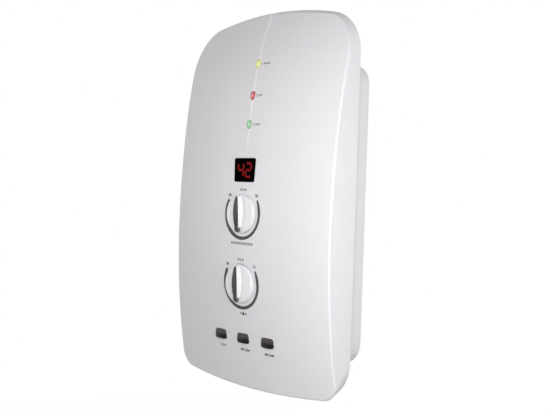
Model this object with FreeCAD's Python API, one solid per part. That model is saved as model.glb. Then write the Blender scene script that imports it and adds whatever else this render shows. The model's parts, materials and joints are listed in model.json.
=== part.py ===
import FreeCAD, Part
import math
import os

# Wall-hung electric instantaneous water heater, in millimetres.
# X runs to the right, Z up, and the wall is the plane Y = 0.
# Depths are measured out from the wall, so a point at depth d has Y = -d.

Vector = FreeCAD.Vector

# Cover. The drafts and tapers are per millimetre out from the rim.
cover_half_width = 120.5
cover_top = 200.0
cover_bottom = -201.3
cover_wall = 2.5
rim_depth = 22.5
top_radius = 425.0
top_corner = 43.5
top_taper = -0.4
bottom_radius = 950.0
bottom_corner = 41.0
bottom_taper = 1.35
taper_limit_depth = 46.0
side_draft = 0.085
top_draft = 0.45
bottom_draft = 0.025
crease_radius = 2.2
face_limit_depth = 66.0
hook_across = (50.0, 70.0)
hook_up = (189.0, 200.0)
cover_screw_x = 98.0
cover_screw_depth = 38.0
cover_screw_length = 11.0
cover_screw_hole = 2.3
screw_tab_half = 7.0
screw_tab_thick = 3.0
notch_radius = 15.0
notch_up = (-210.0, -185.0)

# Face: its depth at six heights on the centre line, and how far it falls back towards each side
face_heights = (-200.0, -130.0, -60.0, 60.0, 160.0, 200.0)
face_depths = (47.0, 58.6, 63.6, 59.2, 42.7, 28.6)
side_fall = 8.8
side_fall_at = 118.0

# Rear housing
box_half_width = 113.5
box_top = 139.0
box_bottom = -163.3
box_top_corner = 20.0
box_bottom_corner = 23.0
box_wall = 2.5
flange_back = 24.8
flange_front = 27.3
edge_gap = 0.4
wall_hole_radius = 2.6
wall_hole_x = 95.0
wall_hole_top = 122.0
wall_hole_bottom = -136.0
wall_boss = (6.5, 1.5)
board_post_radius = 3.2
board_screw_radius = 1.5
strap_post_radius = 4.0
cover_post = (4.2, 10.0)

# Controls on the face, all on the centre line
temperature_z = -15.2
flow_z = -88.4
button_z = -146.5
button_spacing = 36.2
display_z = 30.5
led_heights = {"yellow": 142.5, "red": 108.8, "green": 78.2}

# Knobs: the grip and inlay have a half length, a half width, and a half width at their blunt ends
knob_radius = 20.5
knob_gap = 0.5
knob_disc = 4.4
knob_edge_radius = 1.6
knob_seat_radius = 21.3
knob_seat_sunk = 0.7
knob_height = 9.2
grip_root = 1.7
grip_foot = (19.6, 6.4, 3.8)
grip_crest = (19.0, 4.5, 2.5)
grip_end_round = 1.3
grip_arch = 100.0
grip_lean = 5.0
inlay_size = (18.4, 3.9, 1.9)
inlay_thickness = 0.6
hub_radius = 5.5
hub_hole = 6.5
hub_length = 2.8
shaft_radius = 3.0
shaft_flat = 1.0
shaft_flat_length = 9.0
shaft_into_knob = 5.5
running = 0.05

# Buttons
button_half_width = 8.5
button_half_height = 5.0
button_corner = 2.6
button_proud = 2.2
button_crown_radius = 30.0
button_travel = 1.5
button_gap = 0.3
collar_size = (10.2, 6.8)
collar_thick = 1.2
button_stem_radius = 2.2
switch_height = 4.2

# Display window, lenses and accent strip
window_half_width = 15.8
window_half_height = 12.6
window_corner = 2.4
window_proud = 0.3
window_rim = 2.0
lens_half_width = 3.2
lens_half_height = 4.8
lens_proud = 1.1
lens_dome = 9.0
lens_tail = 2.5
strip_top = 197.0
strip_bottom = 55.0
strip_top_half = 2.2
strip_bottom_half = 0.7
strip_proud = 0.25
strip_sunk = 0.8

# Water connections
water_depth = 24.0
stub_x = 75.0
stub_radius = 10.48
stub_neck_radius = 10.2
stub_bore = 7.0
stub_thread_top = -170.0
stub_bottom = -190.0
nut_across = 26.0
nut_height = 5.8
pipe_socket = 11.0
grommet_depth = 14.0
grommet_bore = 4.5
grommet_hole = 8.0
grommet_lip = (10.5, 2.0)
strainer_radius = 6.6
strainer_bore = 5.8
strainer_up = (-186.0, -166.0)
strainer_slots = 5
strainer_slot_first = -182.5
strainer_slot_step = 3.2
strainer_slot_height = 1.6

# Flow valve
valve_radius = 9.0
valve_half_length = 22.0
chamber_radius = 12.0
chamber_depth = (17.0, 46.0)
disc_base_depth = 30.0
seat_front = 33.0
disc_front_depth = 36.0
valve_way = 4.0
disc_way = 2.5
disc_way_x = 5.0
spindle_radius = 4.0
spindle_foot = (6.5, 2.0)
gland_across = 19.0
gland_front = 52.0
seal_depth = 42.6
seal_radius = 3.95
seal_section = 0.8

# Pipes and flow sensor
pipe_radius = 5.0
pipe_wall = 1.0
pipe_bend = 16.0
feed_pipe_radius = 4.5
feed_pipe_bend = 10.0
sensor_start = -22.0
sensor_end = -46.0
sensor_radius = 9.5
sensor_room = (7.9, 5.0)
turbine_x = -34.0
turbine_axle = (1.2, 6.5)
turbine_hub = (2.6, 4.2)
turbine_blades = 6
blade_reach = 7.2
blade_half_length = 4.0
sensor_ways = 4
sensor_way = (1.8, 4.6)

# Heating tank
tank_x = -71.0
tank_bottom = -56.0
tank_top = 94.0
tank_half_width = 28.0
tank_radius = 19.0
tank_wall = 2.0
tank_flange = 5.0
lid_half_width = 36.0
lid_half_depth = 20.5
lid_corner = 6.0
lid_thick = 5.0
gasket_thick = 1.5
lid_screw_offset = (31.5, 16.5)
element_depth = 31.0
element_radius = 3.25
element_legs = ((-20.0, -6.0), (6.0, 20.0))
element_lift = 12.0
stud_length = 6.0
terminal_across = 8.0
terminal_height = 3.0
stand_x = -84.0
stand_depth = 15.0
stand_radius = 3.5
stand_bore = 2.6
feed_x = -56.0
port_radius = 7.5
port_length = 10.0
relief_z = 76.0
relief_radius = 4.0
cutout_z = 24.0
strap_heights = (-14.0, 60.0)
strap_width = 10.0
strap_thick = 1.2
strap_foot = 5.0
strap_foot_length = 10.2
strap_screw_x = (-105.5, -36.5)
tank_pad_heights = (-35.0, 80.0)

# Boards
control_back = 46.5
board_thick = 1.6
control_half_width = 34.0
control_bottom = -38.0
control_top = 58.0
control_posts = ((-29.0, -33.0), (29.0, -33.0), (-29.0, 53.0), (29.0, 53.0))
button_board_back = 41.0
button_board_half = (57.0, 9.0)
button_posts = ((-52.0, -147.0), (52.0, -147.0))
board_screw_length = 7.0
indicator_half_width = 11.0
indicator_up = (72.0, 148.0)
indicator_behind = 6.5
indicator_screws = ((-8.0, 93.0), (8.0, 126.0))
indicator_boss_radius = 2.6
indicator_screw_radius = 1.0
potentiometer_radius = 8.5
potentiometer_height = 9.0
wiper_radius = 5.0

# Power side: all modules stand in one column on the right
module_x = (48.0, 104.0)
module_back = 4.0
module_seats = (-59.0, -28.0, 36.0, 62.0, 112.0)
terminal_up = (-67.0, -51.0)
terminal_front = 20.0
terminal_pitch = 18.0
breaker_up = (-36.0, 44.0)
breaker_front = 38.0
sink_up = (56.0, 118.0)
sink_front = 8.0
fin_up = 78.0
fin_front = 32.0
fin_count = 8
fin_pitch = 8.0
fin_thick = 1.6
wire_radius = 1.5
wire_depth = 12.0


def at(x, depth, z):
    return Vector(x, -depth, z)


def block(across, depth, up):
    """Box from pairs of limits: across, out from the wall, and up."""
    corner = at(across[0], depth[1], up[0])
    return Part.makeBox(across[1] - across[0], depth[1] - depth[0], up[1] - up[0], corner)


def rod(radius, start, end):
    """Round bar between two points given as x, depth, z."""
    start = at(*start)
    along = at(*end) - start
    return Part.makeCylinder(radius, along.Length, start, along)


def rod_up(radius, x, depth, up):
    return rod(radius, (x, depth, up[0]), (x, depth, up[1]))


def rod_out(radius, x, z, depth):
    return rod(radius, (x, depth[0], z), (x, depth[1], z))


def rod_across(radius, across, depth, z):
    return rod(radius, (across[0], depth, z), (across[1], depth, z))


def join(shapes):
    return shapes[0].multiFuse(shapes[1:]).removeSplitter()


def group(shapes):
    return Part.makeCompound(shapes)


def both(across):
    """A pair of limits on the right, and its mirror image on the left."""
    return (across, (-across[1], -across[0]))


def hexagon(across_flats, start, end):
    """Hexagonal bar between two points given as x, depth, z."""
    start = at(*start)
    along = at(*end) - start
    side = Vector(0, 1, 0) if abs(along.y) < abs(along.x) else Vector(1, 0, 0)
    other = along.cross(side).normalize()
    radius = across_flats / math.sqrt(3)
    turns = [math.radians(60 * step) for step in range(7)]
    across = [(radius * math.cos(turn), radius * math.sin(turn)) for turn in turns]
    corners = [start + side * first + other * second for first, second in across]
    return Part.Face(Part.makePolygon(corners)).extrude(along)


def edges_along(body, axis):
    lines = [edge for edge in body.Edges if edge.Curve.TypeId == "Part::GeomLine"]
    return [edge for edge in lines if abs(edge.Curve.Direction.dot(axis)) > 0.99]


def plate(centre, half_width, half_height, depth, corner):
    """Plate that faces the front, with rounded corners."""
    x, z = centre
    body = block((x - half_width, x + half_width), depth, (z - half_height, z + half_height))
    return body.makeFillet(corner, edges_along(body, Vector(0, 1, 0)))


def rounded_lid(across, depth, up):
    """Plate that lies level, with rounded corners."""
    body = block(across, depth, up)
    return body.makeFillet(lid_corner, edges_along(body, Vector(0, 0, 1)))


def upright_oval(centre, half_width, half_height, depth):
    """Oval bar that faces the front: two half rounds joined by straight sides."""
    x, z = centre
    ends = half_height - half_width
    middle = block((x - half_width, x + half_width), depth, (z - ends, z + ends))
    rounds = [rod_out(half_width, x, z + end, depth) for end in (-ends, ends)]
    return join([middle] + rounds)


def obround(half_width, radius, up):
    """The tank's flat-sided round section, upright, about the tank's axis."""
    sides = (tank_x - half_width + radius, tank_x + half_width - radius)
    middle = block(sides, (water_depth - radius, water_depth + radius), up)
    return join([middle] + [rod_up(radius, x, water_depth, up) for x in sides])


def bent(radius, points, bend):
    """Round bar along straight runs joined by tangent arcs."""
    points = [at(*point) for point in points]
    start = points[0]
    edges = []
    for before, corner, after in zip(points, points[1:], points[2:]):
        into = (corner - before).normalize()
        out = (after - corner).normalize()
        half_turn = into.getAngle(out) / 2
        reach = bend * math.tan(half_turn)
        arc_start = corner - into * reach
        arc_end = corner + out * reach
        arc_middle = corner + (out - into).normalize() * (bend / math.cos(half_turn) - bend)
        edges.append(Part.LineSegment(start, arc_start).toShape())
        edges.append(Part.Arc(arc_start, arc_middle, arc_end).toShape())
        start = arc_end
    edges.append(Part.LineSegment(start, points[-1]).toShape())
    section = Part.Wire(Part.makeCircle(radius, points[0], points[1] - points[0]))
    return Part.Wire(edges).makePipeShell([section], True, False)


def bent_pipe(radius, points, bend):
    return bent(radius, points, bend).cut(bent(radius - pipe_wall, points, bend))


def screw(head_radius, shank_radius, start, end):
    """Socket screw: the head stands before the start point, and the shank runs to the end point."""
    head_height = head_radius * 0.8
    along = Vector(*end) - Vector(*start)
    along.normalize()
    top = Vector(*start) - along * head_height
    socket_floor = Vector(*start) - along * (head_height * 0.4)
    head = rod(head_radius, tuple(top), start)
    socket = hexagon(head_radius, tuple(top), tuple(socket_floor))
    return head.cut(socket).fuse(rod(shank_radius, start, end))


def face_depth(x, z):
    """Depth of the face: one smooth curve through the six heights, less the fall towards the sides."""
    depth = 0.0
    for height, value in zip(face_heights, face_depths):
        for other in face_heights:
            if other != height:
                value *= (z - other) / (height - other)
        depth += value
    return depth - side_fall * (x / side_fall_at) ** 2


def behind_face(skin):
    """Everything further back than a skin below the face."""
    columns = [-132.0 + 44.0 * step for step in range(7)]
    rows = [-212.0 + 26.5 * step for step in range(17)]
    grid = [[at(x, face_depth(x, z) - skin, z) for z in rows] for x in columns]
    surface = Part.BSplineSurface()
    surface.interpolate(grid)
    return surface.toShape().extrude(Vector(0, 110, 0))


def outline_end(up, half_width, height, radius, corner):
    """Crown, arc end, corner middle and side end of one end of the outline, on the right-hand side."""
    corner_x = half_width - corner
    arc_z = up * (height - radius)
    corner_z = arc_z + up * math.sqrt((radius - corner) ** 2 - corner_x ** 2)
    turn = math.atan2(corner_x, up * (corner_z - arc_z))
    middle = (turn + math.pi / 2) / 2
    arc_end = (radius * math.sin(turn), arc_z + up * radius * math.cos(turn))
    corner_middle = (corner_x + corner * math.sin(middle), corner_z + up * corner * math.cos(middle))
    return (0.0, up * height), arc_end, corner_middle, (half_width, corner_z)


def outline(depth, inset):
    """Front view of the cover at a depth, shrunk by an inset: long arcs, straight sides, and corner
    arcs that tighten towards the face."""
    out = depth - rim_depth
    half_width = cover_half_width - inset - side_draft * out
    top_height = cover_top - inset - top_draft * out
    bottom_height = -cover_bottom - inset - bottom_draft * out
    top_round = top_corner - inset - top_taper * out
    bottom_round = bottom_corner - inset - bottom_taper * min(out, taper_limit_depth - rim_depth)
    top = outline_end(1, half_width, top_height, top_radius - inset, top_round)
    bottom = outline_end(-1, half_width, bottom_height, bottom_radius - inset, bottom_round)
    edges = []
    for crown, arc_end, corner_middle, side_end in (top, bottom):
        right = [at(x, depth, z) for x, z in (arc_end, corner_middle, side_end)]
        left = [at(-x, depth, z) for x, z in (arc_end, corner_middle, side_end)]
        edges.append(Part.Arc(left[0], at(crown[0], depth, crown[1]), right[0]).toShape())
        edges.append(Part.Arc(*right).toShape())
        edges.append(Part.Arc(*left).toShape())
    for side in (-1, 1):
        ends = [at(side * end[3][0], depth, end[3][1]) for end in (top, bottom)]
        edges.append(Part.LineSegment(*ends).toShape())
    return Part.Wire(Part.__sortEdges__(edges))


def cover_form(inset, start=rim_depth):
    """The cover as one lump, shrunk by an inset: a drafted prism that the bulged face cuts off."""
    outlines = [outline(depth, inset) for depth in (start, taper_limit_depth, face_limit_depth)]
    return Part.makeLoft(outlines, True, True).common(behind_face(inset))


def knob_heights():
    return (temperature_z, flow_z)


def knob_seat(z):
    """Depth of the flat round seat that is sunk into the face behind a knob."""
    return face_depth(0, z) - knob_seat_sunk


def button_places():
    """Name and position across of each push button."""
    return (("left", -button_spacing), ("middle", 0.0), ("right", button_spacing))


def cover_screw_places():
    """The two screws under the cover, and the top and bottom of the tabs that they go through."""
    tab_top = box_bottom - 0.3
    return (-cover_screw_x, cover_screw_x), (tab_top - screw_tab_thick, tab_top)


def wall_hole_places():
    return [(x, z) for x in (-wall_hole_x, wall_hole_x) for z in (wall_hole_bottom, wall_hole_top)]


def strap_screw_places():
    return [(x, z) for x in strap_screw_x for z in strap_heights]


def lens_holes():
    depth = (35.0, face_limit_depth)
    return [upright_oval((0, z), lens_half_width, lens_half_height, depth) for z in led_heights.values()]


def cover_fixings(outer):
    """What is moulded inside the cover: top hooks, screw tabs, board bosses and knob pads."""
    hook_depth = (rim_depth, flange_back - 0.2)
    fixings = [block(across, hook_depth, hook_up).common(outer) for across in both(hook_across)]
    places, tab_up = cover_screw_places()
    tab_depth = (cover_screw_depth - 6, face_limit_depth)
    for x in places:
        fixings.append(block((x - screw_tab_half, x + screw_tab_half), tab_depth, tab_up).common(outer))
    for x, z in indicator_screws:
        boss_depth = (indicator_depth(z) + board_thick, face_depth(x, z) - 1)
        fixings.append(rod_out(indicator_boss_radius, x, z, boss_depth))
    for z in knob_heights():
        fixings.append(rod_out(knob_seat_radius + 2, 0, z, (knob_seat(z) - cover_wall, knob_seat(z))))
    return fixings


def cover_openings():
    """Holes in the cover: window, lenses, knobs, buttons, screws, and notches for the two pipes."""
    front = (40.0, face_limit_depth)
    openings = [plate((0, display_z), window_half_width, window_half_height, front, window_corner)]
    openings += lens_holes()
    for z in knob_heights():
        openings.append(rod_out(hub_hole, 0, z, front))
        openings.append(rod_out(knob_seat_radius, 0, z, (knob_seat(z), face_limit_depth)))
    half_width = button_half_width + button_gap
    half_height = button_half_height + button_gap
    for name, x in button_places():
        openings.append(plate((x, button_z), half_width, half_height, front, button_corner + button_gap))
    places, tab_up = cover_screw_places()
    through_tab = (tab_up[0] - 1, tab_up[1] + 1)
    openings += [rod_up(cover_screw_hole, x, cover_screw_depth, through_tab) for x in places]
    for x, z in indicator_screws:
        openings.append(rod_out(indicator_screw_radius, x, z, (30, indicator_depth(z) + 5)))
    for x in (-stub_x, stub_x):
        openings.append(rod_up(notch_radius, x, water_depth, notch_up))
        openings.append(block((x - notch_radius, x + notch_radius), (rim_depth - 1, water_depth), notch_up))
    return openings


def front_cover(strip, indicator_board):
    """Bulged shell with its fixings inside and its openings."""
    outer = cover_form(0.0)
    crease = [edge for edge in outer.Edges if min(-vertex.Y for vertex in edge.Vertexes) > rim_depth + 1]
    outer = outer.makeFillet(crease_radius, crease)
    shell = outer.cut(cover_form(cover_wall, rim_depth - 1))
    shell = join([shell] + cover_fixings(outer))
    return shell.cut(cover_openings() + [strip, indicator_board])


def accent_strip():
    """Slim tapered trim let into the upper face, parted by the three lenses."""
    sides = [(-strip_bottom_half, strip_bottom), (strip_bottom_half, strip_bottom)]
    sides += [(strip_top_half, strip_top), (-strip_top_half, strip_top), (-strip_bottom_half, strip_bottom)]
    plan = Part.Face(Part.makePolygon([at(x, 20, z) for x, z in sides]))
    strip = plan.extrude(Vector(0, -60, 0)).common(behind_face(-strip_proud)).cut(behind_face(strip_sunk))
    return strip.cut(lens_holes())


def display_window():
    """Dark tinted window with a rim behind the cover, and the depth of its back."""
    front = face_depth(0, display_z) + window_proud
    corner_heights = (display_z - window_half_height - 1.4, display_z + window_half_height + 1.4)
    inner_face = min(face_depth(window_half_width, z) for z in corner_heights) - cover_wall
    back = inner_face - 1.5
    centre = (0, display_z)
    pane = plate(centre, window_half_width - 0.1, window_half_height - 0.1, (back, front), window_corner)
    rim_size = (window_half_width + window_rim, window_half_height + window_rim)
    rim = plate(centre, rim_size[0], rim_size[1], (back, inner_face - 0.2), window_corner)
    return join([pane, rim]), back


def led_lens(z):
    """Upright oval lens with a domed front."""
    front = face_depth(0, z) + lens_proud
    back = face_depth(0, z) - cover_wall - lens_tail
    oval = upright_oval((0, z), lens_half_width - 0.05, lens_half_height - 0.05, (back, front + 1))
    return oval.common(Part.makeSphere(lens_dome, at(0, front - lens_dome, z)))


def blunt_oval(z, depth, size):
    """Outline of a bar with bowed sides and shallow rounded ends."""
    half_length, half_width, end_half = size
    shoulder = half_length - grip_end_round
    corners = [at(x, depth, z + up) for x, up in ((end_half, shoulder), (end_half, -shoulder),
                                                  (-end_half, -shoulder), (-end_half, shoulder))]
    middles = [at(x, depth, z + up) for x, up in ((half_width, 0), (0, -half_length),
                                                  (-half_width, 0), (0, half_length))]
    ends = corners[1:] + corners[:1]
    return Part.Wire([Part.Arc(*points).toShape() for points in zip(corners, middles, ends)])


def knob(z, shaft):
    """Round disc with an arched grip, a hub behind it and a dark inlay along the crest."""
    back = knob_seat(z) + knob_gap
    disc_front = back + knob_disc
    crest = face_depth(0, z) + knob_height
    disc = rod_out(knob_radius, 0, z, (back, disc_front))
    front_edges = [edge for edge in disc.Edges if abs(-edge.CenterOfMass.y - disc_front) < 0.01]
    disc = disc.makeFillet(knob_edge_radius, front_edges)
    wires = [blunt_oval(z, disc_front - grip_root, grip_foot), blunt_oval(z, crest, grip_crest)]
    arch = (-10, 10), crest - grip_arch, z + grip_lean
    roof = rod_across(grip_arch, *arch)
    grip = Part.makeLoft(wires, True, True).common(roof)
    hub = rod_out(hub_radius, 0, z, (back - hub_length, back + 1))
    above_crest = Vector(0, disc_front - crest - 1, 0)
    column = Part.Face(blunt_oval(z, disc_front, inlay_size)).extrude(above_crest)
    inlay = column.common(roof).cut(rod_across(grip_arch - inlay_thickness, *arch))
    body = join([disc, grip, hub]).cut([shaft, inlay])
    return body, inlay


def shaft_end(start, z):
    """The last stretch of a shaft, with a flat on it, as it sits in a knob."""
    end = face_depth(0, z) + shaft_into_knob
    stem = rod_out(shaft_radius, 0, z, (start, end))
    flat = block((shaft_radius - shaft_flat, 5), (end - shaft_flat_length, end + 1), (z - 5, z + 5))
    return stem.cut(flat)


def push_button(x):
    """Dark crowned cap that stands through the cover, with a collar and a stem behind it."""
    centre = (x, button_z)
    front = face_depth(x, button_z) + button_proud
    collar_front = face_depth(abs(x) + 10, button_z - 8) - cover_wall - 0.5
    cap_depth = (collar_front - 1, front + 1)
    cap = plate(centre, button_half_width, button_half_height, cap_depth, button_corner)
    crown = Part.makeSphere(button_crown_radius, at(x, front - button_crown_radius, button_z))
    collar_depth = (collar_front - collar_thick, collar_front)
    collar = plate(centre, collar_size[0], collar_size[1], collar_depth, button_corner)
    stem_end = button_board_back + board_thick + switch_height + button_gap + button_travel
    stem = rod_out(button_stem_radius, x, button_z, (stem_end, collar_front - 1))
    return join([cap.common(crown), collar, stem])


def housing_box(wall, depth):
    """The rear box, shrunk by a wall thickness, with slightly larger corners at the bottom."""
    half = box_half_width - wall
    body = block((-half, half), depth, (box_bottom + wall, box_top - wall))
    for upper, corner in ((True, box_top_corner), (False, box_bottom_corner)):
        edges = [edge for edge in edges_along(body, Vector(0, 1, 0)) if abs(edge.CenterOfMass.x) > half - 1]
        edges = [edge for edge in edges if (edge.CenterOfMass.z > 0) == upper]
        body = body.makeFillet(corner - wall, edges)
    return body


def housing_posts():
    """What is moulded on the housing's floor and bottom wall to carry boards, straps, tank and cover."""
    floor = box_wall - 0.5
    ledge = box_bottom + box_wall - 0.5
    posts = [rod_out(board_post_radius, x, z, (floor, control_back)) for x, z in control_posts]
    posts += [rod_out(board_post_radius, x, z, (floor, button_board_back)) for x, z in button_posts]
    posts += [rod_out(wall_boss[0], x, z, (floor, box_wall + wall_boss[1])) for x, z in wall_hole_places()]
    posts += [rod_out(strap_post_radius, x, z, (floor, strap_foot)) for x, z in strap_screw_places()]
    for x in (-cover_screw_x, cover_screw_x):
        posts.append(rod_up(cover_post[0], x, cover_screw_depth, (ledge, ledge + cover_post[1])))
    tank_back = water_depth - tank_radius
    for z in tank_pad_heights:
        posts.append(block((tank_x - 18, tank_x + 18), (floor, tank_back), (z - 3, z + 3)))
    for z in module_seats:
        posts.append(block(module_x, (floor, module_back), (z - 4, z + 4)))
    return posts


def housing_holes():
    """Holes for wall screws, water stubs, the grommet, and the screws that go into the posts."""
    ledge = box_bottom + box_wall - 0.5
    through = (box_bottom - 6.7, box_bottom + 13.3)
    holes = [rod_out(wall_hole_radius, x, z, (-1, 8)) for x, z in wall_hole_places()]
    holes += [rod_up(stub_radius + 0.3, x, water_depth, through) for x in (-stub_x, stub_x)]
    holes.append(rod_up(grommet_hole, 0, grommet_depth, through))
    for back, posts in ((control_back, control_posts), (button_board_back, button_posts)):
        holes += [rod_out(board_screw_radius, x, z, (back - 6, back + 1)) for x, z in posts]
    holes += [rod_out(1.6, x, z, (box_wall + 0.6, strap_foot + 1)) for x, z in strap_screw_places()]
    for x in (-cover_screw_x, cover_screw_x):
        holes.append(rod_up(1.9, x, cover_screw_depth, (box_bottom - 1, ledge + 8.5)))
    return holes


def rear_housing():
    """Open box against the wall, with a flange and a bottom shelf that fit inside the cover."""
    box = housing_box(0.0, (0.0, flange_front))
    inside = cover_form(cover_wall + edge_gap, rim_depth - 1)
    whole_width = (-130, 130)
    flange = inside.common(block(whole_width, (flange_back, flange_front), (box_bottom, 210)))
    shelf_up = (box_bottom, box_bottom + box_wall)
    shelf = inside.common(block(whole_width, (flange_back, face_limit_depth), shelf_up))
    shell = join([box, flange, shelf]).cut(housing_box(box_wall, (box_wall, flange_front + 1)))
    return join([shell] + housing_posts()).cut(housing_holes())


def cover_seal():
    """Soft band on the flange, inside the cover's wall."""
    band = cover_form(cover_wall + 1.0, rim_depth).cut(cover_form(cover_wall + 4.0, rim_depth - 1))
    return band.common(block((-130, 130), (flange_front, flange_front + 1.5), (box_bottom + 4, 210)))


def casing():
    strip = accent_strip()
    places, tab_up = cover_screw_places()
    screws = []
    for x in places:
        end = tab_up[0] + cover_screw_length
        screws.append(screw(3.6, 1.9, (x, cover_screw_depth, tab_up[0]), (x, cover_screw_depth, end)))
    window, window_back = display_window()
    nodes = {
        "front_cover": front_cover(strip, indicator_board()),
        "rear_housing": rear_housing(),
        "cover_seal": cover_seal(),
        "cover_screws": group(screws),
        "accent_strip": strip,
        "display_window": window,
    }
    for colour, z in led_heights.items():
        nodes["led_lens_" + colour] = led_lens(z)
    display_depth = (control_back + board_thick, window_back - 0.6)
    nodes["display_module"] = plate((0, display_z), 15.0, 11.0, display_depth, 0.8)
    return nodes


def potentiometer():
    """Its body on the control board, and the shaft with the wiper disc that turns inside."""
    z = temperature_z
    foot = control_back + board_thick
    front = foot + potentiometer_height
    wiper_depth = (foot + 2, foot + 3.5)
    shaft = join([shaft_end(foot + 2, z), rod_out(wiper_radius, 0, z, wiper_depth)])
    bush = rod_out(4.5, 0, z, (front - 1, front + 2.6))
    can = rod_out(potentiometer_radius, 0, z, (foot, front)).fuse(bush)
    bore = rod_out(shaft_radius + running, 0, z, (control_back, front + 4))
    room = rod_out(wiper_radius + 0.4, 0, z, (wiper_depth[0] - 0.8, wiper_depth[1] + 0.8))
    floor = rod_out(potentiometer_radius, 0, z, (foot, foot + 1.2))
    return can.cut([bore, room]).fuse(floor).removeSplitter(), shaft


def controls():
    body, shaft = potentiometer()
    nodes = {"potentiometer_body": body, "potentiometer_shaft": shaft}
    nodes["temperature_knob"], nodes["temperature_knob_inlay"] = knob(temperature_z, shaft)
    nodes["flow_knob"], nodes["flow_knob_inlay"] = knob(flow_z, spindle())
    for name, x in button_places():
        nodes["button_" + name] = push_button(x)
    return nodes


def spindle():
    """Valve spindle: a wide foot on the disc, a groove for the O-ring and a flat at the knob end."""
    foot_radius, foot_thick = spindle_foot
    foot = rod_out(foot_radius, 0, flow_z, (disc_front_depth, disc_front_depth + foot_thick))
    stem = rod_out(spindle_radius, 0, flow_z, (disc_front_depth, gland_front - 2))
    groove_depth = (seal_depth - seal_section, seal_depth + seal_section)
    groove = rod_out(spindle_radius + 0.5, 0, flow_z, groove_depth)
    groove = groove.cut(rod_out(seal_radius - seal_section - 0.05, 0, flow_z, groove_depth))
    return join([foot, stem.cut(groove), shaft_end(gland_front - 3, flow_z)])


def valve_body():
    """Round body along the pipe with a chamber towards the knob, and its waterways."""
    through = rod_across(valve_radius, (-valve_half_length, valve_half_length), water_depth, flow_z)
    chamber = rod_out(chamber_radius, 0, flow_z, chamber_depth)
    end = valve_half_length + 1
    ways = [rod_across(valve_way, across, water_depth, flow_z) for across in both((1.5, end))]
    for x in (-disc_way_x, disc_way_x):
        ways.append(rod_out(disc_way, x, flow_z, (water_depth, disc_base_depth + 1)))
    ways.append(rod_out(valve_radius, 0, flow_z, (disc_base_depth, chamber_depth[1] + 1)))
    ways.append(rod_across(pipe_radius, (end - 4, end), water_depth, flow_z))
    return join([through, chamber]).cut(ways)


def gland_nut():
    """Hexagonal nut that closes the chamber round the spindle."""
    top = chamber_depth[1]
    head = hexagon(gland_across, (0, top, flow_z), (0, gland_front, flow_z))
    plug = rod_out(valve_radius - 0.1, 0, flow_z, (top - 6, top + 0.5))
    bore = rod_out(spindle_radius + running, 0, flow_z, (top - 7, gland_front + 1))
    seal_room = rod_out(5.2, 0, flow_z, (seal_depth - 1.2, seal_depth + 1.2))
    return join([head, plug]).cut([bore, seal_room])


def flow_valve():
    """Ceramic-disc valve behind the lower knob: body, fixed and turning discs, spindle and gland nut."""
    seat = rod_out(valve_radius - 0.1, 0, flow_z, (disc_base_depth, seat_front))
    through_seat = (disc_base_depth - 1, seat_front + 1)
    seat_ways = [rod_out(disc_way, x, flow_z, through_seat) for x in (-disc_way_x, disc_way_x)]
    disc = rod_out(valve_radius - 0.5, 0, flow_z, (seat_front + running, disc_front_depth))
    passage = block((-2.5, 2.5), (seat_front - 1, seat_front + 1.5), (flow_z - 7.5, flow_z + 7.5))
    seal_centre = at(0, seal_depth, flow_z)
    return {
        "valve_body": valve_body(),
        "valve_seat": seat.cut(seat_ways),
        "valve_disc": disc.cut(passage),
        "valve_spindle": spindle(),
        "spindle_seal": Part.makeTorus(seal_radius, seal_section, seal_centre, Vector(0, 1, 0)),
        "gland_nut": gland_nut(),
    }


def water_stub(x):
    """Threaded stub through the bottom of the box, with a collar inside and a socket for the pipe."""
    collar_up = (box_bottom + box_wall + 1, box_bottom + 8)
    thread = rod_up(stub_radius, x, water_depth, (stub_bottom, stub_thread_top))
    shank = rod_up(stub_neck_radius, x, water_depth, (stub_thread_top, collar_up[0] + 0.5))
    collar = hexagon(nut_across, (x, water_depth, collar_up[0]), (x, water_depth, collar_up[1]))
    neck = rod_up(8.0, x, water_depth, (collar_up[1] - 1, collar_up[1] + 7))
    bore = rod_up(stub_bore, x, water_depth, (stub_bottom - 1, box_bottom + 6))
    socket = rod_up(pipe_radius, x, water_depth, (box_bottom + 5, box_bottom + 5 + pipe_socket))
    return join([thread, shank, collar, neck]).cut([bore, socket])


def stub_fixings():
    """The nut below the box and the rubber washer above its floor, for both stubs."""
    nut_up = (box_bottom - 0.2 - nut_height, box_bottom - 0.2)
    floor = box_bottom + box_wall
    nuts = []
    washers = []
    for x in (-stub_x, stub_x):
        nut = hexagon(nut_across, (x, water_depth, nut_up[0]), (x, water_depth, nut_up[1]))
        nuts.append(nut.cut(rod_up(stub_neck_radius, x, water_depth, (nut_up[0] - 1, box_bottom))))
        washer = rod_up(nut_across / 2, x, water_depth, (floor, floor + 1))
        washers.append(washer.cut(rod_up(stub_neck_radius, x, water_depth, (floor, floor + 1))))
    return group(nuts), group(washers)


def inlet_strainer():
    """Slotted cup with a closed top that stands in the inlet stub."""
    low, high = strainer_up
    cup = rod_up(strainer_radius, stub_x, water_depth, strainer_up)
    lip = rod_up(stub_bore, stub_x, water_depth, (low - 1, low + 1))
    hollow = rod_up(strainer_bore, stub_x, water_depth, (low - 2, high - 1))
    slots = []
    for row in range(strainer_slots):
        z = strainer_slot_first + strainer_slot_step * row
        for reach, width in ((8, 2.5), (2.5, 8)):
            across = (stub_x - reach, stub_x + reach)
            depth = (water_depth - width, water_depth + width)
            slots.append(block(across, depth, (z, z + strainer_slot_height)))
    return join([cup, lip]).cut([hollow] + slots)


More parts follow.
